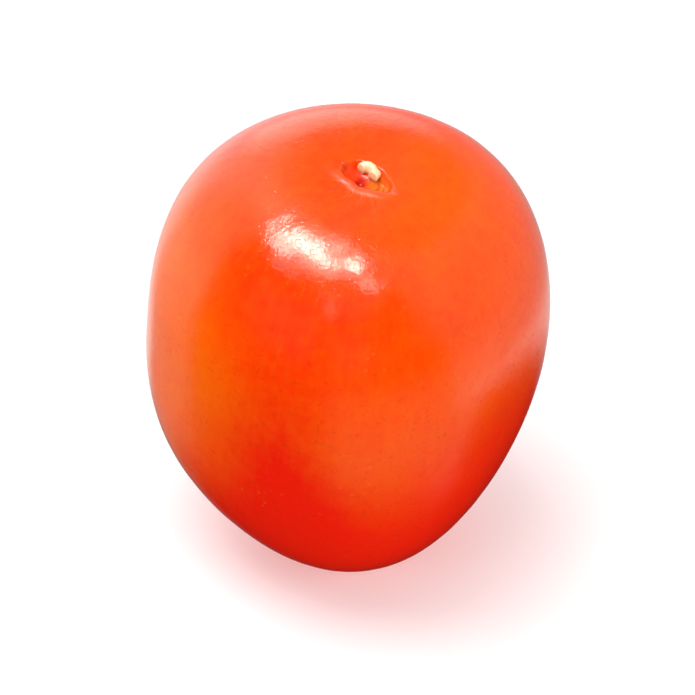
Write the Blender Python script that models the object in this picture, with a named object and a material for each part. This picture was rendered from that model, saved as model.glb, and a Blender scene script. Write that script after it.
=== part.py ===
"""A ripe plum tomato, picked without its calyx, that stands on its blossom end.

The fruit is one grown piece, so it is one closed solid. Its surface is a formula in the fruit's
own frame: a blocky oval round the core, widened by its seed chambers, sunk at the stem end, with
a puckered stem scar there and a small blossom scar at the other end. The whole fruit then leans
a little and settles on a small flat spot at z = 0. Metres, +Z up.
"""

import math

import bmesh
import bpy
from mathutils import Matrix, Vector

MM = 0.001

# Driving dimensions of the body, measured from its middle, where it is widest
HALF_WIDTH = 29.0 * MM
HALF_LENGTH = 36.25 * MM
SHOULDER_SQUARENESS = 2.57  # 2 is an ellipse, and more is blockier
BLOSSOM_SQUARENESS = 2.13

# Seed chambers, as shares of the reach from the middle
CHAMBERS = 3
CHAMBER_SWELL = 0.040
CHAMBER_ANGLE = math.radians(40)
SQUARE_SWELL = 0.011  # the four soft corners of the cross-section
SQUARE_ANGLE = math.radians(18)
LOPSIDED = 0.0066
LOPSIDED_ANGLE = math.radians(213)

# Soft swellings that make it uneven: angle from the stem end, angle round the core, height
SWELLINGS = (
    (84, 6, 0.51 * MM),
    (138, 294, 0.49 * MM),
    (118, 198, 0.46 * MM),
    (52, 162, 0.47 * MM),
    (35, 75, 0.28 * MM),
)
SWELLING_SPREAD = 0.42  # radians

# Stem end: a wide hollow, and in it the puckered pit of the stem scar. The pit is an oval with a
# raised lip in front. Its places are measured across the core, X to the right and Y to the back.
HOLLOW_DEPTH = 2.6 * MM
HOLLOW_SPREAD = 0.38  # radians
PIT_MIDDLE = (0.15 * MM, 0.6 * MM)
PIT_LONG = 4.0 * MM
PIT_SHORT = 2.35 * MM
PIT_ANGLE = math.radians(-31)
PIT_DEPTH = 1.3 * MM
PIT_FLOOR = 0.6  # where the wall starts, as a share of the oval
PIT_LIP = 1.1
PIT_PUCKERS = 5
PIT_WAVES = 0.05
LIP_MIDDLE = 1.25  # as a share of the oval
LIP_WIDTH = 0.34
LIP_HEIGHT = 0.28 * MM
LIP_FRONT = math.radians(242)
LIP_ENDS = (-0.2, 0.7)  # from none to full height, as the cosine of the angle from its front
CREASE_ANGLES = tuple(math.radians(a) for a in (146, -24))
CREASE_DEPTH = 0.2 * MM
CREASE_WIDTH = 0.5 * MM
CREASE_MIDDLE = 4.1 * MM
CREASE_REACH = 1.2 * MM
CREASE_ASIDE = math.cos(math.radians(60))  # a crease lies on one side of the pit only

# The corky ring that the stem left, open on one side, and the hole beside it
RING_MIDDLE = (-0.05 * MM, 1.8 * MM)
RING_RADIUS = 1.14 * MM
RING_WIDTH = 0.6 * MM
RING_TOP = 0.25 * MM  # above the skin round the pit
RING_BACK = math.radians(52)  # the middle of its arc
RING_ENDS = (math.cos(math.radians(104)), math.cos(math.radians(74)))  # from none to full height
HOLE_MIDDLE = (-0.75 * MM, 0.95 * MM)
HOLE_RADIUS = 0.9 * MM
HOLE_DEPTH = 0.8 * MM

# Blossom end: a small recess with the nub of the fallen flower in it
RECESS_RADIUS = 2.2 * MM
RECESS_DEPTH = 1.5 * MM
NUB_RADIUS = 0.8 * MM
NUB_HEIGHT = 0.6 * MM

# How it stands: the core leans to the front and to the right, and its underside is pressed flat
LEAN_FORWARD = math.radians(10)
LEAN_RIGHT = math.radians(5.1)
TURN = math.radians(-3.9)
MIDDLE = (0.6 * MM, -1.2 * MM, 35.2 * MM)  # over the middle of the flat spot
FLAT_EDGE = 0.25 * MM  # height over which the flat spot rounds into the body

# Mesh: rings lie closer together at both ends, where the small shapes are
SIDES = 72
RINGS = 64
RING_CROWDING = 0.85

SKIN_COLOUR = (0.85, 0.075, 0.010, 1.0)
SKIN_ROUGHNESS = 0.22


def bell(x):
    """1 in the middle, falling softly to 0."""
    return math.exp(-x * x)


def ease(low, high, x):
    """0 below low, 1 above high, and smooth between them."""
    t = min(1.0, max(0.0, (x - low) / (high - low)))
    return t * t * (3 - 2 * t)


def body_reach(polar, around):
    """Distance from the middle to the plain body, with its chambers and swellings."""
    squareness = SHOULDER_SQUARENESS if polar < math.pi / 2 else BLOSSOM_SQUARENESS
    across = abs(math.sin(polar)) / HALF_WIDTH
    along = abs(math.cos(polar)) / HALF_LENGTH
    reach = (across**squareness + along**squareness) ** (-1 / squareness)
    girth = math.sin(polar) ** 2
    share = CHAMBER_SWELL * math.cos(CHAMBERS * (around - CHAMBER_ANGLE))
    share += SQUARE_SWELL * math.cos(4 * (around - SQUARE_ANGLE))
    tilt = math.sin(polar) * math.cos(polar) * math.cos(around - LOPSIDED_ANGLE)
    reach *= 1 + girth * share + LOPSIDED * tilt
    for polar_deg, around_deg, height in SWELLINGS:
        p, a = math.radians(polar_deg), math.radians(around_deg)
        cosine = math.sin(polar) * math.sin(p) * math.cos(around - a) + math.cos(polar) * math.cos(p)
        reach += height * math.exp(2 * (cosine - 1) / SWELLING_SPREAD**2)
    return reach


def pit_height(x, y):
    """The puckered oval pit of the stem scar with its lip, which fades to the back."""
    front = ease(*LIP_ENDS, math.cos(math.atan2(y, x) - LIP_FRONT))
    x, y = x - PIT_MIDDLE[0], y - PIT_MIDDLE[1]
    along = x * math.cos(PIT_ANGLE) + y * math.sin(PIT_ANGLE)
    aside = y * math.cos(PIT_ANGLE) - x * math.sin(PIT_ANGLE)
    waves = 1 + PIT_WAVES * math.cos(PIT_PUCKERS * math.atan2(aside, along))
    oval = math.hypot(along / PIT_LONG, aside / PIT_SHORT) / waves
    lip = LIP_HEIGHT * front * bell((oval - LIP_MIDDLE) / LIP_WIDTH)
    return lip - PIT_DEPTH * (1 - ease(PIT_FLOOR, PIT_LIP, oval))


def ring_share(x, y):
    """1 on the crest of the corky ring in the pit and 0 off it. The ring is open to the front."""
    x, y = x - RING_MIDDLE[0], y - RING_MIDDLE[1]
    closed = ease(*RING_ENDS, math.cos(math.atan2(y, x) - RING_BACK))
    return closed * bell((math.hypot(x, y) - RING_RADIUS) / RING_WIDTH)


def hole_height(x, y):
    """The hole beside the ring, where the vessels of the stem went in."""
    return -HOLE_DEPTH * bell(math.hypot(x - HOLE_MIDDLE[0], y - HOLE_MIDDLE[1]) / HOLE_RADIUS)


def crease_height(x, y):
    """Short creases that run out from the pit and fade."""
    off, around = math.hypot(x, y), math.atan2(y, x)
    height = 0.0
    for angle in CREASE_ANGLES:
        ahead = ease(0.0, CREASE_ASIDE, math.cos(around - angle))
        fade = bell((off - CREASE_MIDDLE) / CREASE_REACH)
        height -= CREASE_DEPTH * ahead * fade * bell(off * math.sin(around - angle) / CREASE_WIDTH)
    return height


def stem_end(polar, around):
    """How much the stem end's hollow and scar add to the reach."""
    off = polar * (HALF_LENGTH - HOLLOW_DEPTH)  # distance from the core, along the skin
    x, y = off * math.cos(around), off * math.sin(around)
    scar = pit_height(x, y) + hole_height(x, y) + crease_height(x, y)
    scar += ring_share(x, y) * (RING_TOP - scar)
    return scar - HOLLOW_DEPTH * bell(polar / HOLLOW_SPREAD)


def blossom_end(polar):
    """How much the blossom end's recess and nub add to the reach."""
    off = (math.pi - polar) * HALF_LENGTH
    return NUB_HEIGHT * bell(off / NUB_RADIUS) - RECESS_DEPTH * bell(off / RECESS_RADIUS)


def fruit_point(polar, around):
    """A point of the skin in the fruit's own frame, whose +Z runs along the core to the stem."""
    reach = body_reach(polar, around) + stem_end(polar, around) + blossom_end(polar)
    ring = reach * math.sin(polar)
    return Vector((ring * math.cos(around), ring * math.sin(around), reach * math.cos(polar)))


def standing():
    """Turns the fruit's own frame to how it stands, with the surface at z = 0."""
    turn = Matrix.Rotation(TURN, 4, "Z") @ Matrix.Rotation(LEAN_FORWARD, 4, "X")
    return Matrix.Translation(MIDDLE) @ Matrix.Rotation(LEAN_RIGHT, 4, "Y") @ turn


def settled(height):
    """Heights below the surface become 0, with a rounded edge round the flat spot."""
    if height >= FLAT_EDGE:
        return height
    return max(0.0, height + FLAT_EDGE) ** 2 / (4 * FLAT_EDGE)


def ring_angle(even):
    """Moves evenly spaced rings towards both ends of the fruit."""
    return even - RING_CROWDING * math.sin(2 * even) / 2


def clear_scene():
    for obj in list(bpy.data.objects):
        bpy.data.objects.remove(obj, do_unlink=True)


def skin_material():
    material = bpy.data.materials.new("tomato_skin")
    material.use_nodes = True
    shader = material.node_tree.nodes["Principled BSDF"]
    shader.inputs["Base Color"].default_value = SKIN_COLOUR
    shader.inputs["Roughness"].default_value = SKIN_ROUGHNESS
    shader.inputs["Metallic"].default_value = 0.0
    material.diffuse_color = SKIN_COLOUR
    return material


def make_fruit(collection):
    """The whole fruit: a sphere whose points are moved onto the formula's surface."""
    shape = bmesh.new()
    bmesh.ops.create_uvsphere(shape, u_segments=SIDES, v_segments=RINGS, radius=1.0)
    place = standing()
    for vertex in shape.verts:
        even = math.acos(max(-1.0, min(1.0, vertex.co.z)))
        around = math.atan2(vertex.co.y, vertex.co.x)
        point = place @ fruit_point(ring_angle(even), around)
        vertex.co = (point.x, point.y, settled(point.z))
    bmesh.ops.recalc_face_normals(shape, faces=shape.faces)
    mesh = bpy.data.meshes.new("fruit")
    shape.to_mesh(mesh)
    shape.free()
    mesh.shade_smooth()
    mesh.materials.append(skin_material())
    fruit = bpy.data.objects.new("fruit", mesh)
    collection.objects.link(fruit)
    return fruit


def main():
    clear_scene()
    collection = bpy.data.collections.new("tomato")
    bpy.context.scene.collection.children.link(collection)
    make_fruit(collection)


main()
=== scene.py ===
"""A ripe plum tomato, picked without its calyx, standing on its blossom end in soft studio light.

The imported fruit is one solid. Here its skin is grown again on a fine mesh by the same rule, and
the corky ring of the stem scar and the dry tip of the blossom scar are set into it. Metres, +Z up.
"""

import math

import bpy
from mathutils import Matrix, Vector


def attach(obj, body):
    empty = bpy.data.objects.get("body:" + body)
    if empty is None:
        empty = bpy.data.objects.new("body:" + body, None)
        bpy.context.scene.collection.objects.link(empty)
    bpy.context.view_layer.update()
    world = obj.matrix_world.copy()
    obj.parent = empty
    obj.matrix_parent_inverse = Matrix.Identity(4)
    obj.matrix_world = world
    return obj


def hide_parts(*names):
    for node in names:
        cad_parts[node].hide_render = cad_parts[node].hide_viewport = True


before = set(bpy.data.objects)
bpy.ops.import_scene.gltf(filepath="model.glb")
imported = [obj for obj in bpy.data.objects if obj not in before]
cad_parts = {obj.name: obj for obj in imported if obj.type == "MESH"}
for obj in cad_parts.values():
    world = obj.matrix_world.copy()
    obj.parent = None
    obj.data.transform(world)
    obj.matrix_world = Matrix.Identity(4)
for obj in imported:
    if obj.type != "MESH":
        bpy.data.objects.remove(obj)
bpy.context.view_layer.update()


# The fruit's skin. The real one is a thin waxy skin over flesh, grown as one blocky oval that three
# seed chambers widen, drawn in at the stem end. It is a sphere whose points a Geometry Nodes tree
# moves onto the rule's surface, with rings crowded at both ends, and then leans and settles.

MM = 0.001
SIDES = 300
RINGS = 310
SKIN_SIZES = {
    "Half width": 29.0 * MM,
    "Half length": 36.25 * MM,
    "Shoulder squareness": 2.57,
    "Blossom squareness": 2.13,
    "Chamber swell": 0.040,
    "Chamber angle": math.radians(40),
    "Square swell": 0.011,
    "Square angle": math.radians(18),
    "Lopsided": 0.0066,
    "Lopsided angle": math.radians(213),
    "Hollow depth": 2.6 * MM,
    "Hollow spread": 0.38,
    "Pit right": 0.15 * MM,
    "Pit back": 0.60 * MM,
    "Pit depth": 1.3 * MM,
    "Pit long": 4.0 * MM,
    "Pit short": 2.35 * MM,
    "Pit angle": math.radians(-31),
    "Lip height": 0.28 * MM,
    "Hole depth": 1.0 * MM,
    "Fold depth": 0.16 * MM,
    "Crease depth": 0.14 * MM,
    "Wrinkle depth": 0.06 * MM,
    "Recess depth": 1.5 * MM,
    "Recess radius": 2.2 * MM,
    "Inset": 0.06 * MM,
    "Unevenness": 0.22 * MM,
    "Lean forward": math.radians(10),
    "Turn": math.radians(-3.9),
    "Lean right": math.radians(5.1),
    "Flat edge": 0.25 * MM,
    "Seed": 4.0,
}
MIDDLE = Vector((0.6, -1.2, 35.2)) * MM
RING_CROWDING = 0.85
WAIST = 0.001

# Low swellings: degrees from the stem, degrees round the core, and height
SWELLINGS = (
    (84, 6, 0.51 * MM),
    (138, 294, 0.49 * MM),
    (118, 198, 0.46 * MM),
    (52, 162, 0.47 * MM),
    (35, 75, 0.28 * MM),
)
SWELLING_SPREAD = 0.42

# The pit: places in it are shares of its half length and half width
PUCKERS = 5
PUCKER_DEPTH = 0.05
PUCKER_WANDER = 0.22
WANDER_SCALE = 420.0
NEAR_FLOOR = 0.60
NEAR_RIM = 1.10
FAR_FLOOR_GAIN = 0.14
FAR_RIM_LOSS = 0.08
LIP_MIDDLE = 1.25
LIP_WIDTH = 0.34
FRONT_LIP = math.radians(242)
GROOVE_MIDDLE = 0.93
GROOVE_WIDTH = 0.07
FOLDS = 24.0
FOLD_WANDER = 14.0
FOLD_TURN = 2.0
HOLE_MIDDLE = (-0.75 * MM, 0.95 * MM)
HOLE_RADIUS = 0.9 * MM

# The creases at the pit's ends, and the wrinkles round it
CREASES = tuple(math.radians(a) for a in (146, -24))
CREASE_WIDTH = 0.34 * MM
CREASE_MIDDLE = 4.1 * MM
CREASE_REACH = 1.0 * MM
CREASE_WANDER = 1.2 * MM
SPOKES_ROUND = 2
SPOKES_OUT = 160.0
WRINKLE_SCALE = 2.6
WRINKLE_SHARPNESS = 4.0
WRINKLE_SHADE = 0.4
WRINKLE_REACH = 7.0 * MM


class Wire:
    """A socket in a node tree, so that sums of sockets read as sums."""

    def __init__(self, tree, socket=None):
        self.tree = tree
        self.socket = socket

    def node(self, kind, settings=None, sockets=None, out=0):
        """Adds a node: its settings first, then the values or links of its sockets."""
        made = self.tree.nodes.new(kind)
        for name, value in (settings or {}).items():
            setattr(made, name, value)
        for name, value in (sockets or {}).items():
            if isinstance(value, Wire):
                self.tree.links.new(value.socket, made.inputs[name])
            else:
                made.inputs[name].default_value = value
        return Wire(self.tree, made.outputs[out])

    def math(self, operation, *others):
        sockets = dict(enumerate((self, *others)))
        return self.node("ShaderNodeMath", {"operation": operation}, sockets)

    def backwards(self, operation, other):
        return self.node("ShaderNodeMath", {"operation": operation}, {0: other, 1: self})

    def __add__(self, other):
        return self.math("ADD", other)

    def __radd__(self, other):
        return self.backwards("ADD", other)

    def __sub__(self, other):
        return self.math("SUBTRACT", other)

    def __rsub__(self, other):
        return self.backwards("SUBTRACT", other)

    def __mul__(self, other):
        return self.math("MULTIPLY", other)

    def __rmul__(self, other):
        return self.backwards("MULTIPLY", other)

    def __truediv__(self, other):
        return self.math("DIVIDE", other)

    def __rtruediv__(self, other):
        return self.backwards("DIVIDE", other)

    def __pow__(self, other):
        return self.math("POWER", other)

    def __neg__(self):
        return self.math("MULTIPLY", -1.0)

    def __abs__(self):
        return self.math("ABSOLUTE")

    def sin(self):
        return self.math("SINE")

    def cos(self):
        return self.math("COSINE")

    def bell(self):
        """1 where the value is 0, falling softly to 0 on both sides."""
        return (-(self * self)).math("EXPONENT")

    def ease(self, low, high):
        """0 below low, 1 above high, and smooth between them."""
        return self.node("ShaderNodeMapRange", {"interpolation_type": "SMOOTHSTEP"},
                         {"Value": self, "From Min": low, "From Max": high})

    def parts(self):
        """The three parts of a vector."""
        split = self.node("ShaderNodeSeparateXYZ", sockets={0: self}).socket.node
        return tuple(Wire(self.tree, socket) for socket in split.outputs)

    def vector(self, x, y, z):
        return self.node("ShaderNodeCombineXYZ", sockets={0: x, 1: y, 2: z})

    def noise(self, place, scale, detail=2.0, out=0, **more):
        """Smooth noise round 0.5 at a place, or as a colour with out=1."""
        sockets = {"Vector": place, "Scale": scale, "Detail": detail, **more}
        return self.node("ShaderNodeTexNoise", sockets=sockets, out=out)


def off_and_around(x, y):
    """Distance from a middle, and angle round it."""
    return (x * x + y * y).math("SQRT"), y.math("ARCTAN2", x)


def grow_tree(name, sizes, build, material):
    """A Geometry Nodes tree with a named input for each size, which ends in one plain mesh."""
    tree = bpy.data.node_groups.new(name, "GeometryNodeTree")
    for label in sizes:
        tree.interface.new_socket(name=label, in_out="INPUT", socket_type="NodeSocketFloat")
    tree.interface.new_socket(name="Mesh", in_out="OUTPUT", socket_type="NodeSocketGeometry")
    given = tree.nodes.new("NodeGroupInput")
    size = {label: Wire(tree, given.outputs[label]) for label in sizes}
    grown = build(Wire(tree), size)
    joined = grown.node("GeometryNodeRealizeInstances", sockets={0: grown})
    painted = joined.node("GeometryNodeSetMaterial", sockets={"Geometry": joined, "Material": material})
    result = tree.nodes.new("NodeGroupOutput")
    tree.links.new(painted.socket, result.inputs[0])
    return tree


def grow(name, tree, sizes):
    """Runs a tree and returns what it makes as an object with a plain smooth mesh."""
    seed = bpy.data.objects.new(name + "_seed", bpy.data.meshes.new(name + "_seed"))
    bpy.context.collection.objects.link(seed)
    modifier = seed.modifiers.new(name, "NODES")
    modifier.node_group = tree
    for socket in tree.interface.items_tree:
        if socket.in_out == "INPUT":
            modifier[socket.identifier] = sizes[socket.name]
    depsgraph = bpy.context.evaluated_depsgraph_get()
    mesh = bpy.data.meshes.new_from_object(seed.evaluated_get(depsgraph))
    bpy.data.objects.remove(seed, do_unlink=True)
    mesh.name = name
    mesh.shade_smooth()
    piece = bpy.data.objects.new(name, mesh)
    bpy.context.collection.objects.link(piece)
    return piece


def standing(place, size):
    """Leans a place of the fruit's own frame as the fruit stands, with the surface at z = 0."""
    for axis, angle in (("X", "Lean forward"), ("Z", "Turn"), ("Y", "Lean right")):
        place = place.node("ShaderNodeVectorRotate", {"rotation_type": axis + "_AXIS"},
                           {"Vector": place, "Angle": size[angle]})
    return place.node("ShaderNodeVectorMath", {"operation": "ADD"}, {0: place, 1: MIDDLE})


def settled(place, edge):
    """Presses what lies below the surface flat, with a rounded edge round the flat spot."""
    x, y, z = place.parts()
    near = (z + edge).math("MAXIMUM", 0.0).math("MINIMUM", 2 * edge)
    return place.vector(x, y, near * near / (4 * edge) + (z - edge).math("MAXIMUM", 0.0))


def skin_shape(start, size):
    """The fruit's skin, with the places that its paint follows kept as attributes."""
    ball = start.node("GeometryNodeMeshUVSphere", sockets={"Segments": SIDES, "Rings": RINGS})
    x, y, z = start.node("GeometryNodeInputPosition").parts()
    ring, around = off_and_around(x, y)
    even = ring.math("ARCTAN2", z)
    polar = even - RING_CROWDING * (2 * even).sin() / 2

    # The blocky body with its chambers and swellings
    lower = polar.ease(math.pi / 2 - WAIST, math.pi / 2 + WAIST)
    squareness = size["Shoulder squareness"] * (1 - lower) + size["Blossom squareness"] * lower
    across = abs(polar.sin()) / size["Half width"]
    along = abs(polar.cos()) / size["Half length"]
    reach = (across**squareness + along**squareness) ** (-1 / squareness)
    swell = size["Chamber swell"] * (3 * (around - size["Chamber angle"])).cos()
    swell = swell + size["Square swell"] * (4 * (around - size["Square angle"])).cos()
    tilt = polar.sin() * polar.cos() * (around - size["Lopsided angle"]).cos()
    reach = reach * (1 + polar.sin() * polar.sin() * swell + size["Lopsided"] * tilt)
    for polar_deg, around_deg, height in SWELLINGS:
        p, a = math.radians(polar_deg), math.radians(around_deg)
        cosine = polar.sin() * math.sin(p) * (around - a).cos() + polar.cos() * math.cos(p)
        reach = reach + height * ((cosine - 1) * (2 / SWELLING_SPREAD**2)).math("EXPONENT")

    # The stem end: a wide hollow, then the oval pit with its lip, hole and creases
    reach = reach - size["Hollow depth"] * (polar / size["Hollow spread"]).bell()
    off = polar * (size["Half length"] - size["Hollow depth"])
    px, py = off * around.cos(), off * around.sin()
    turn = size["Pit angle"]
    rx, ry = px - size["Pit right"], py - size["Pit back"]
    lengthwise = rx * turn.cos() + ry * turn.sin()
    sideways = ry * turn.cos() - rx * turn.sin()
    wander = start.noise(start.vector(px, py, 0.0), WANDER_SCALE, 1.0) - 0.5
    oval = off_and_around(lengthwise / size["Pit long"], sideways / size["Pit short"])[0]
    round_pit = sideways.math("ARCTAN2", lengthwise)
    pucker = 1 + PUCKER_DEPTH * (PUCKERS * round_pit).cos() + PUCKER_WANDER * wander
    rim = oval / pucker
    right_end = lengthwise / size["Pit long"]
    left_end = -lengthwise / size["Pit long"]
    far_side = (sideways / size["Pit short"]).ease(-0.3, 0.6)
    floor_edge = NEAR_FLOOR + FAR_FLOOR_GAIN * far_side
    inside = 1 - rim.ease(floor_edge, NEAR_RIM - FAR_RIM_LOSS * far_side)
    lip = ((rim - LIP_MIDDLE) / LIP_WIDTH).bell() * (around - FRONT_LIP).cos().ease(-0.2, 0.7)
    groove = ((rim - GROOVE_MIDDLE) / GROOVE_WIDTH).bell() * left_end.ease(0.10, 0.6)
    groove = groove * (1 - far_side)
    fold = (oval * FOLDS + FOLD_WANDER * wander + FOLD_TURN * around).cos().ease(-0.2, 1.0)
    fold = fold * inside * right_end.ease(0.2, 0.55)
    scar = size["Lip height"] * lip - size["Pit depth"] * inside
    scar = scar - size["Fold depth"] * (groove + fold)
    hole_off = off_and_around(px - HOLE_MIDDLE[0], py - HOLE_MIDDLE[1])[0]
    hole = (hole_off / HOLE_RADIUS).bell()
    scar = scar - size["Hole depth"] * hole
    crease = 0.0
    for angle in CREASES:
        ahead = (around - angle).cos().ease(0.0, 0.5)
        fade = ((off - CREASE_MIDDLE) / CREASE_REACH).bell()
        beside = off * (around - angle).sin() + wander * CREASE_WANDER
        crease = crease + ahead * fade * (beside / CREASE_WIDTH).bell()
    spokes = start.vector(around.cos() * SPOKES_ROUND, around.sin() * SPOKES_ROUND,
                          off * SPOKES_OUT)
    wrinkle = 1 - abs(2 * start.noise(spokes, WRINKLE_SCALE, 3.0) - 1) * WRINKLE_SHARPNESS
    wrinkle = wrinkle.math("MAXIMUM", 0.0) * (off / WRINKLE_REACH).bell() * oval.ease(1.2, 2.0)
    scar = scar - size["Crease depth"] * crease - size["Wrinkle depth"] * wrinkle
    reach = reach + scar

    # The blossom end's recess, and how uneven the whole skin is
    blossom_off = (math.pi - polar) * size["Half length"]
    reach = reach - size["Recess depth"] * (blossom_off / size["Recess radius"]).bell()
    ball_place = start.vector(x, y, z + size["Seed"])
    wide = start.noise(ball_place, 2.2, 2.0)
    small = start.noise(ball_place, 9.0, 2.0)
    reach = reach - size["Inset"] - size["Unevenness"] * (0.75 * wide + 0.25 * small)

    out = reach * polar.sin()
    core = start.vector(out * around.cos(), out * around.sin(), reach * polar.cos())
    # Where the paint darkens the creases, folds, groove and wrinkles as painted shade
    crease_shade = crease + groove + fold + wrinkle * WRINKLE_SHADE
    kept = ball
    for name, kind, value in (
        ("core_place", "FLOAT_VECTOR", core),
        ("scar_masks_and_shade", "FLOAT_VECTOR", start.vector(inside, crease_shade, hole)),
        ("scar_lip", "FLOAT", lip),
    ):
        kept = start.node("GeometryNodeStoreNamedAttribute", {"data_type": kind},
                          {"Geometry": kept, "Name": name, "Value": value})
    place = settled(standing(core, size), size["Flat edge"])
    return start.node("GeometryNodeSetPosition", sockets={"Geometry": kept, "Position": place})


skin_paint = bpy.data.materials.new("ripe_skin")
skin_tree = grow_tree("grown_skin", SKIN_SIZES, skin_shape, skin_paint)
skin = grow("tomato_skin", skin_tree, SKIN_SIZES)
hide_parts("fruit")
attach(skin, "root")


# The paint of the skin. A ripe plum tomato is red flesh under a thin yellowish waxy skin: orange
# at the shoulders and redder to the tip, with fine streaks along it, pale flecks and a few dark
# specks; the deeper red low on the fruit is partly painted shade. The wax gives a sharp shine,
# which pores and fine bumps break up.

RED = (0.84, 0.010, 0.0004, 1.0)
ORANGE = (0.90, 0.135, 0.0010, 1.0)
PALE = (0.95, 0.36, 0.10, 1.0)
PIT_RED = (0.90, 0.045, 0.0004, 1.0)
PIT_LIT_ORANGE = (0.86, 0.20, 0.010, 1.0)
CREASE_SHADE_RED = (0.45, 0.032, 0.001, 1.0)
HOLE_SHADE_RED = (0.58, 0.003, 0.0002, 1.0)
PORE_SHADE = (0.40, 0.020, 0.0008, 1.0)
BROWN = (0.16, 0.055, 0.018, 1.0)

# How often each pattern comes in a metre, and the streaks round and along the skin
STREAKS_ROUND = 9
STREAKS_ALONG = 1.3
BROAD_SCALE = 42.0
PATCHY_SCALE = 210.0
MOTTLE_SCALE = 600.0
FLECK_SCALE = 640.0
FLECK_FIELDS = 130.0
SPECK_SCALE = 105.0
SPECK_FIELDS = 60.0
GRAIN_SCALE = 2100.0
PEEL_SCALE = 900.0
RIPPLE_SCALE = 260.0
PORE_SCALE = 1700.0
PORE_FIELDS = 520.0
BUMP_HEIGHT = 0.03 * MM


def paint_of(material):
    """A material's shader node, and a wire into its tree."""
    material.use_nodes = True
    return material.node_tree.nodes["Principled BSDF"], Wire(material.node_tree)


def mixed(mask, low, high):
    """A colour between two colours."""
    return mask.node("ShaderNodeMix", {"data_type": "RGBA"}, {"Factor": mask, 6: low, 7: high}, out=2)


def ripe_patch(place, polar_deg, around_deg, edge, middle):
    """A soft patch round a place of the skin: its angle from the stem, and round the core."""
    p, a = math.radians(polar_deg), math.radians(around_deg)
    facing = Vector((math.sin(p) * math.cos(a), math.sin(p) * math.sin(a), math.cos(p)))
    unit = place.node("ShaderNodeVectorMath", {"operation": "NORMALIZE"}, {0: place})
    cosine = unit.node("ShaderNodeVectorMath", {"operation": "DOT_PRODUCT"},
                       {0: unit, 1: facing}, out=1)
    return cosine.ease(edge, middle)


shader, start = paint_of(skin_paint)
core_place = start.node("ShaderNodeAttribute", {"attribute_name": "core_place"}, out=1)
scar_masks = start.node("ShaderNodeAttribute", {"attribute_name": "scar_masks_and_shade"}, out=1)
lip = start.node("ShaderNodeAttribute", {"attribute_name": "scar_lip"}, out=2)
cx, cy, cz = core_place.parts()
width, around = off_and_around(cx, cy)
polar = width.math("ARCTAN2", cz)
inside, crease, hole = scar_masks.parts()

left_patch = ripe_patch(core_place, 90, -168, 0.46, 0.92)
right_patch = ripe_patch(core_place, 45, -8, 0.65, 0.98)
front_patch = ripe_patch(core_place, 76, -68, 0.80, 0.98)
# Partly painted shade: the fruit turns redder and darker towards its tip and in two patches low on its
# front, for shade there as well as its own colour.
low_red_and_shade_patch = ripe_patch(core_place, 110, -112, 0.74, 0.96)
low_right_red_and_shade = ripe_patch(core_place, 110, -40, 0.66, 0.98)
shoulder = 1 - polar.ease(math.radians(12), math.radians(42))
tip_red_and_shade = polar.ease(math.radians(80), math.radians(124)) * (1 - 0.8 * left_patch)
streak_place = start.vector(around.cos() * STREAKS_ROUND, around.sin() * STREAKS_ROUND,
                            polar * STREAKS_ALONG)
streaks = start.noise(streak_place, 4.0, 4.0) - 0.5
broad = start.noise(core_place, BROAD_SCALE, 3.0) - 0.5
patchy = start.noise(core_place, PATCHY_SCALE, 2.0) - 0.5
mottle = start.noise(core_place, MOTTLE_SCALE, 3.0) - 0.5
orange = 0.31 + 0.20 * shoulder + 0.62 * left_patch + 0.20 * right_patch + 0.18 * front_patch
orange = orange - 0.34 * low_red_and_shade_patch + 0.40 * broad + 0.20 * streaks + 0.20 * patchy + 0.32 * mottle
orange = orange * (1 - 0.94 * tip_red_and_shade) * (1 - 0.65 * low_right_red_and_shade)
colour = mixed(orange.math("MAXIMUM", 0.0).math("MINIMUM", 1.0), RED, ORANGE)

# Pale flecks, the pit's colours with painted light and painted shade, and dark specks
fleck = start.node("ShaderNodeTexVoronoi", sockets={"Vector": core_place, "Scale": FLECK_SCALE})
fleck_dot = 1 - fleck.ease(0.08, 0.24)
fleck_where = start.noise(core_place, FLECK_FIELDS, 2.0).ease(0.50, 0.72)
colour = mixed(0.12 * fleck_dot * fleck_where, colour, PALE)
# Painted light: the pit turns orange towards its right, where its wall is lit.
pit_colour_and_light = mixed(cx.ease(-0.4 * MM, 1.6 * MM), PIT_RED, PIT_LIT_ORANGE)
colour = mixed(0.90 * inside.ease(0.1, 0.8), colour, pit_colour_and_light)
# Painted shade in the creases, folds, groove and wrinkles round the pit.
colour = mixed((0.6 * crease).math("MINIMUM", 0.8), colour, CREASE_SHADE_RED)
# Painted shade: the hole at the bottom of the pit is a darker red.
colour = mixed(hole.ease(0.15, 0.8), colour, HOLE_SHADE_RED)
speck = start.node("ShaderNodeTexVoronoi", sockets={"Vector": core_place, "Scale": SPECK_SCALE})
speck_where = start.noise(core_place, SPECK_FIELDS, 1.0).ease(0.60, 0.66)
speck_dot = 1 - speck.ease(0.012, 0.030)
colour = mixed(0.65 * speck_dot * speck_where, colour, BROWN)

# Pores, painted a little darker as shade in their dimples, the wax's own fine bumps, and how dull the
# pit and its lip are
pore = 1 - start.noise(core_place, PORE_SCALE, 1.0).ease(0.34, 0.42)
pore = pore * start.noise(core_place, PORE_FIELDS, 1.0).ease(0.38, 0.60)
colour = mixed(0.18 * pore, colour, PORE_SHADE)
grain = start.noise(core_place, GRAIN_SCALE, 2.0)
peel = start.noise(core_place, PEEL_SCALE, 2.0)
ripple = start.noise(core_place, RIPPLE_SCALE, 2.0)
height = 0.9 * grain + 0.5 * peel + 1.2 * ripple - 0.34 * pore
roughness = 0.13 + 0.06 * mottle + 0.12 * inside.ease(0.5, 0.95) + 0.30 * lip

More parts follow.
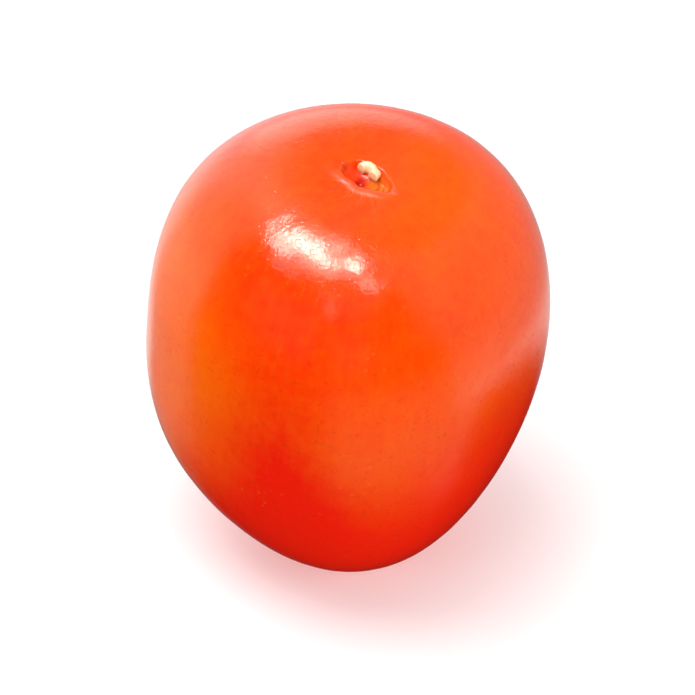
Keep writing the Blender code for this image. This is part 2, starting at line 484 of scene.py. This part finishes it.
bump = start.node("ShaderNodeBump", sockets={"Distance": BUMP_HEIGHT, "Height": height})
start.tree.links.new(bump.socket, shader.inputs["Normal"])
start.tree.links.new(colour.socket, shader.inputs["Base Color"])
start.tree.links.new(roughness.socket, shader.inputs["Roughness"])

shader.inputs["IOR"].default_value = 1.45
shader.inputs["Specular Tint"].default_value = (1.0, 0.94, 0.82, 1.0)
shader.inputs["Subsurface Weight"].default_value = 0.30
shader.inputs["Subsurface Radius"].default_value = (1.0, 0.22, 0.08)
shader.inputs["Subsurface Scale"].default_value = 2.5 * MM


# The corky ring of the stem scar. Where the stem broke off, the real fruit has a low wall of pale
# cork round the hole that its vessels ran through, open on one side. It is a C of thick cork,
# rounded at its ends, taller than it is wide, that stands in the floor of the pit.

CORK_SIZES = {
    "Ring radius": 1.14 * MM,
    "Cork radius": 0.68 * MM,
    "Start angle": math.radians(-34),
    "Sweep": math.radians(172),
    "Tallness": 1.6,
    "Height up the core": 32.9 * MM,
    "Unevenness": 0.20 * MM,
    "Lean forward": SKIN_SIZES["Lean forward"],
    "Turn": SKIN_SIZES["Turn"],
    "Lean right": SKIN_SIZES["Lean right"],
}
CORK_MIDDLE = (-0.05 * MM, 1.80 * MM)
CORK_STEPS = 120
ROUND_FROM = 0.66
FIRST_END_THICK = 1.05
LAST_END_THIN = 0.20
BACK_HIGH = math.radians(60)
BACK_GAIN = 0.12
LUMP_SCALE = 900.0
LUMP_SPREAD = 4.0
CORK_FIBRES = 2400.0
CREAM = (0.86, 0.66, 0.39, 1.0)
FIBRE_TAN = (0.72, 0.40, 0.17, 1.0)
CORK_BROWN_AND_SHADE = (0.34, 0.12, 0.035, 1.0)


def cork_shape(start, size):
    """A C of cork in the pit, thick in its middle and rounded at both ends."""
    arc = start.node("GeometryNodeCurveArc", {"mode": "RADIUS"}, {
        "Resolution": CORK_STEPS,
        "Radius": size["Ring radius"],
        "Start Angle": size["Start angle"],
        "Sweep Angle": size["Sweep"],
    })
    factor = start.node("GeometryNodeSplineParameter")
    end = abs(2 * factor - 1)
    past = ((end - ROUND_FROM) / (1 - ROUND_FROM)).math("MAXIMUM", 0.0)
    thick = (1 - past * past).math("MAXIMUM", 0.0).math("SQRT")
    thick = thick * (FIRST_END_THICK - LAST_END_THIN * factor)
    arc = start.node("GeometryNodeSetCurveRadius", sockets={"Curve": arc, "Radius": thick})
    round_cut = start.node("GeometryNodeCurvePrimitiveCircle", {"mode": "RADIUS"},
                           {"Resolution": 32, "Radius": size["Cork radius"]})
    tube = start.node("GeometryNodeCurveToMesh",
                      sockets={"Curve": arc, "Profile Curve": round_cut, "Fill Caps": True})
    here = start.node("GeometryNodeInputPosition")
    x, y, z = here.parts()
    off, around = off_and_around(x, y)
    lump = start.noise(here, LUMP_SCALE, 2.0) - 0.5
    out = (off - size["Ring radius"]) / size["Cork radius"]
    z = z * size["Tallness"] * (1 - BACK_GAIN + BACK_GAIN * (around - BACK_HIGH).cos())
    grow_out = 1 + (lump * out) * (size["Unevenness"] / size["Ring radius"]) * LUMP_SPREAD
    local = start.vector(x * grow_out + CORK_MIDDLE[0], y * grow_out + CORK_MIDDLE[1],
                         z + lump * size["Unevenness"] + size["Height up the core"])
    kept = start.node("GeometryNodeStoreNamedAttribute", {"data_type": "FLOAT"},
                      {"Geometry": tube, "Name": "cork_height", "Value": z})
    return start.node("GeometryNodeSetPosition",
                      sockets={"Geometry": kept, "Position": standing(local, size)})


cork_paint = bpy.data.materials.new("scar_cork")
cork_tree = grow_tree("cork_ring", CORK_SIZES, cork_shape, cork_paint)
cork = grow("stem_scar_cork", cork_tree, CORK_SIZES)
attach(cork, "root")

shader, start = paint_of(cork_paint)
up = start.node("ShaderNodeAttribute", {"attribute_name": "cork_height"}, out=2)
place = start.node("ShaderNodeTexCoord", out=3)
fibre = start.noise(place, CORK_FIBRES, 3.0)
# Brown low on the cork and cream on its top: the cork's brown base, and painted shade where it meets
# the skin.
top = (up / MM + 0.5 * (fibre - 0.5)).ease(-0.75, 0.15)
colour = mixed(top, CORK_BROWN_AND_SHADE, CREAM)
colour = mixed(0.35 * fibre.ease(0.52, 0.75), colour, FIBRE_TAN)
start.tree.links.new(colour.socket, shader.inputs["Base Color"])
bump = start.node("ShaderNodeBump", sockets={"Distance": 0.05 * MM, "Height": fibre})
start.tree.links.new(bump.socket, shader.inputs["Normal"])
shader.inputs["Roughness"].default_value = 0.42
shader.inputs["Subsurface Weight"].default_value = 0.25
shader.inputs["Subsurface Radius"].default_value = (1.0, 0.6, 0.3)
shader.inputs["Subsurface Scale"].default_value = 0.6 * MM


# The dry tip of the blossom scar. Under the real fruit the flower left a small brown corky point
# in a shallow recess. It is a low lumpy knob, sunk into the floor of the recess.

TIP_SIZES = {
    "Tip radius": 0.95 * MM,
    "Tip height": 0.75 * MM,
    "Depth down the core": 34.55 * MM,
    "Lean forward": SKIN_SIZES["Lean forward"],
    "Turn": SKIN_SIZES["Turn"],
    "Lean right": SKIN_SIZES["Lean right"],
}
TIP_LOBES = 6
LOBE_DEPTH = 0.10
TIP_UNEVENNESS = 0.5
TIP_FIBRES = 1800.0
TIP_BROWN = (0.14, 0.050, 0.018, 1.0)
TIP_TAN = (0.55, 0.27, 0.10, 1.0)


def tip_shape(start, size):
    """A low knob with six soft lobes, pointing down the core."""
    ball = start.node("GeometryNodeMeshUVSphere", sockets={"Segments": 48, "Rings": 32})
    here = start.node("GeometryNodeInputPosition")
    x, y, z = here.parts()
    around = off_and_around(x, y)[1]
    lump = 0.85 + LOBE_DEPTH * (TIP_LOBES * around).cos()
    lump = lump + TIP_UNEVENNESS * (start.noise(here, 3.0, 2.0) - 0.5)
    local = start.vector(x * lump * size["Tip radius"], y * lump * size["Tip radius"],
                         z * lump * size["Tip height"] - size["Depth down the core"])
    return start.node("GeometryNodeSetPosition",
                      sockets={"Geometry": ball, "Position": standing(local, size)})


tip_paint = bpy.data.materials.new("scar_tip")
tip_tree = grow_tree("blossom_tip", TIP_SIZES, tip_shape, tip_paint)
tip = grow("blossom_scar_tip", tip_tree, TIP_SIZES)
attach(tip, "root")

shader, start = paint_of(tip_paint)
place = start.node("ShaderNodeTexCoord", out=3)
fibre = start.noise(place, TIP_FIBRES, 3.0)
colour = mixed(fibre.ease(0.35, 0.7), TIP_BROWN, TIP_TAN)
start.tree.links.new(colour.socket, shader.inputs["Base Color"])
bump = start.node("ShaderNodeBump", sockets={"Distance": 0.08 * MM, "Height": fibre})
start.tree.links.new(bump.socket, shader.inputs["Normal"])
shader.inputs["Roughness"].default_value = 0.7


# The studio: a pale table that glows a little, a camera that looks down on the fruit from the
# front, a row of windows overhead that the wax mirrors, unseen lamps that fill the shade, and a
# room whose white walls show at the fruit's rims.

ELEVATION = math.radians(37)
DISTANCE = 0.58
FRAME_WIDTH = 0.102
TABLE_HALF = 6.0
TABLE_GLOW = 0.22
SENSOR = 0.036

bpy.ops.mesh.primitive_plane_add(size=2 * TABLE_HALF)
table = bpy.context.object
table.name = "table"
table_paint = bpy.data.materials.new("pale_table")
shader, start = paint_of(table_paint)
shader.inputs["Base Color"].default_value = (0.78, 0.78, 0.78, 1.0)
table_x, table_y = start.node("ShaderNodeTexCoord", out=3).parts()[:2]
far_off = off_and_around(table_x, table_y)[0].ease(0.20, 1.0)
glow = TABLE_GLOW + (1 - TABLE_GLOW) * far_off
start.tree.links.new(start.vector(glow, glow, glow).socket, shader.inputs["Emission Color"])
shader.inputs["Emission Strength"].default_value = 1.0
shader.inputs["Roughness"].default_value = 0.9
shader.inputs["Specular IOR Level"].default_value = 0.1
table.data.materials.append(table_paint)
table.visible_glossy = False
table.visible_diffuse = False
table.visible_shadow = False

back = Vector((0.0, -math.cos(ELEVATION), math.sin(ELEVATION)))
aim = MIDDLE + Vector((0.0, 0.0, -1.0)) * MM
camera = bpy.data.objects.new("camera", bpy.data.cameras.new("camera"))
camera.data.sensor_width = SENSOR * 1000
camera.data.lens = SENSOR * 1000 * DISTANCE / FRAME_WIDTH
camera.data.clip_start = 0.01
camera.data.clip_end = 20.0
camera.location = aim + back * DISTANCE
camera.rotation_euler = (-back).to_track_quat("-Z", "Y").to_euler()
bpy.context.collection.objects.link(camera)
bpy.context.scene.camera = camera


def softbox(name, towards, long_way, length, breadth, brightness, distance):
    """A rectangular light that faces the fruit and is as bright as it looks."""
    towards = Vector(towards).normalized()
    across = Vector(long_way)
    across = (across - across.dot(towards) * towards).normalized()
    lamp = bpy.data.lights.new(name, "AREA")
    lamp.shape = "RECTANGLE"
    lamp.size = length
    lamp.size_y = breadth
    lamp.energy = brightness * math.pi * length * breadth
    light = bpy.data.objects.new(name, lamp)
    turn = Matrix((across, towards.cross(across), towards)).transposed()
    light.matrix_world = Matrix.Translation(MIDDLE + towards * distance) @ turn.to_4x4()
    bpy.context.collection.objects.link(light)
    return light


# Ways that a light's long side may run: with the row of windows, across it, up, or level
ROW = (0.80, 0.60, 0.0)
ACROSS_ROW = (0.10, 1.0, 0.0)
UPRIGHT = (0.0, 0.0, 1.0)
LEVEL = (1.0, 0.0, 0.0)

# Name, direction, long side's direction, length, breadth, brightness and distance
WIDE_WINDOWS = (
    ("window_wide", (-0.36, -0.05, 0.93), ROW, 0.70, 0.14, 2.8, 0.70),
    ("window_lower", (-0.15, -0.26, 0.95), LEVEL, 0.48, 0.27, 2.8, 0.70),
    ("window_middle", (-0.18, -0.12, 0.98), ROW, 0.42, 0.24, 3.8, 0.69),
)
MIRRORED_WINDOWS = (
    ("window_high", (-0.28, 0.05, 0.96), ROW, 0.17, 0.085, 26.0, 0.68),
    ("window_bright", (-0.27, -0.10, 0.96), (-0.15, 0.99, 0.0), 0.20, 0.085, 26.0, 0.68),
    ("window_edge", (-0.48, -0.05, 0.88), ROW, 0.22, 0.08, 20.0, 0.67),
    ("window_second", (-0.01, -0.19, 0.98), ACROSS_ROW, 0.13, 0.085, 30.0, 0.67),
    ("window_low", (0.15, -0.49, 0.86), ACROSS_ROW, 0.15, 0.17, 5.5, 0.68),
    ("window_streak", (-0.34, -0.72, 0.61), (0.0, 0.6, 0.8), 0.26, 0.06, 1.6, 0.70),
)
FILLS = (
    ("fill_left", (-0.75, -0.62, 0.22), UPRIGHT, 0.60, 0.60, 3.6, 0.9),
    ("fill_right", (0.80, -0.50, 0.33), UPRIGHT, 0.60, 0.60, 3.8, 0.9),
    ("fill_front", (-0.10, -0.92, 0.10), LEVEL, 0.60, 0.60, 2.8, 1.2),
    ("fill_low", (0.68, -0.45, -0.45), UPRIGHT, 0.50, 0.50, 0.8, 0.8),
    ("fill_under", (0.0, 0.0, -1.0), LEVEL, 1.40, 1.40, 1.1, 0.6),
)

for window in WIDE_WINDOWS:
    softbox(*window)
for window in MIRRORED_WINDOWS:
    softbox(*window).visible_diffuse = False
for fill in FILLS:
    softbox(*fill).visible_glossy = False

world = bpy.data.worlds.new("white_room")
world.use_nodes = True
bpy.context.scene.world = world
room = Wire(world.node_tree)
towards = room.node("ShaderNodeTexCoord", out=0)
sky_x, sky_y, sky_z = towards.parts()


def near(direction, edge, middle):
    """1 towards a direction of the room, easing to 0 at an edge, both as cosines."""
    facing = room.node("ShaderNodeVectorMath", {"operation": "DOT_PRODUCT"},
                       {0: towards, 1: Vector(direction).normalized()}, out=1)
    return facing.ease(edge, middle)


left_wall = (sky_y + 0.35 * sky_z.math("MINIMUM", 0.0)).ease(-0.08, 0.12)
left_wall = left_wall * (1 - sky_x.ease(-0.45, 0.25))
left_wall = left_wall * (0.35 + 0.65 * sky_z.ease(-0.65, -0.10)) * sky_z.ease(-0.80, -0.64)

right_wall = (sky_y + 0.75 * sky_x + 0.40 * sky_z).ease(0.0, 0.35)
right_wall = right_wall * sky_z.ease(-0.66, -0.58) * (1 + 0.3 * sky_z)
skirting = ((sky_z + 0.59) / 0.05).bell()
right_wall = right_wall * (1 + 0.8 * skirting)
right_wall = right_wall * (1 - 0.65 * near((0.25, 0.50, 0.83), 0.85, 0.97))

floor_ahead = (-sky_z).ease(0.18, 0.45) * (1 - (-sky_z).ease(0.76, 0.90))
floor_ahead = floor_ahead * (0.87 * sky_x - 0.50 * sky_y).ease(-0.10, 0.30)
floor_ahead = floor_ahead * (0.34 * sky_x - 0.94 * sky_y).ease(-0.05, 0.25)

far_wall = near((-0.06, 0.92, 0.33), 0.92, 0.985)
ceiling = near((-0.10, -0.62, 0.78), 0.86, 0.985)
bright = 1.05 * left_wall + 0.52 * right_wall + 1.25 * far_wall + 0.32 * floor_ahead
bright = bright + 0.40 * ceiling + 0.01
lit = world.node_tree.nodes["Background"]
lit.inputs["Color"].default_value = (1.0, 0.99, 0.975, 1.0)
world.node_tree.links.new(bright.socket, lit.inputs["Strength"])

bpy.context.scene.view_settings.view_transform = "Standard"
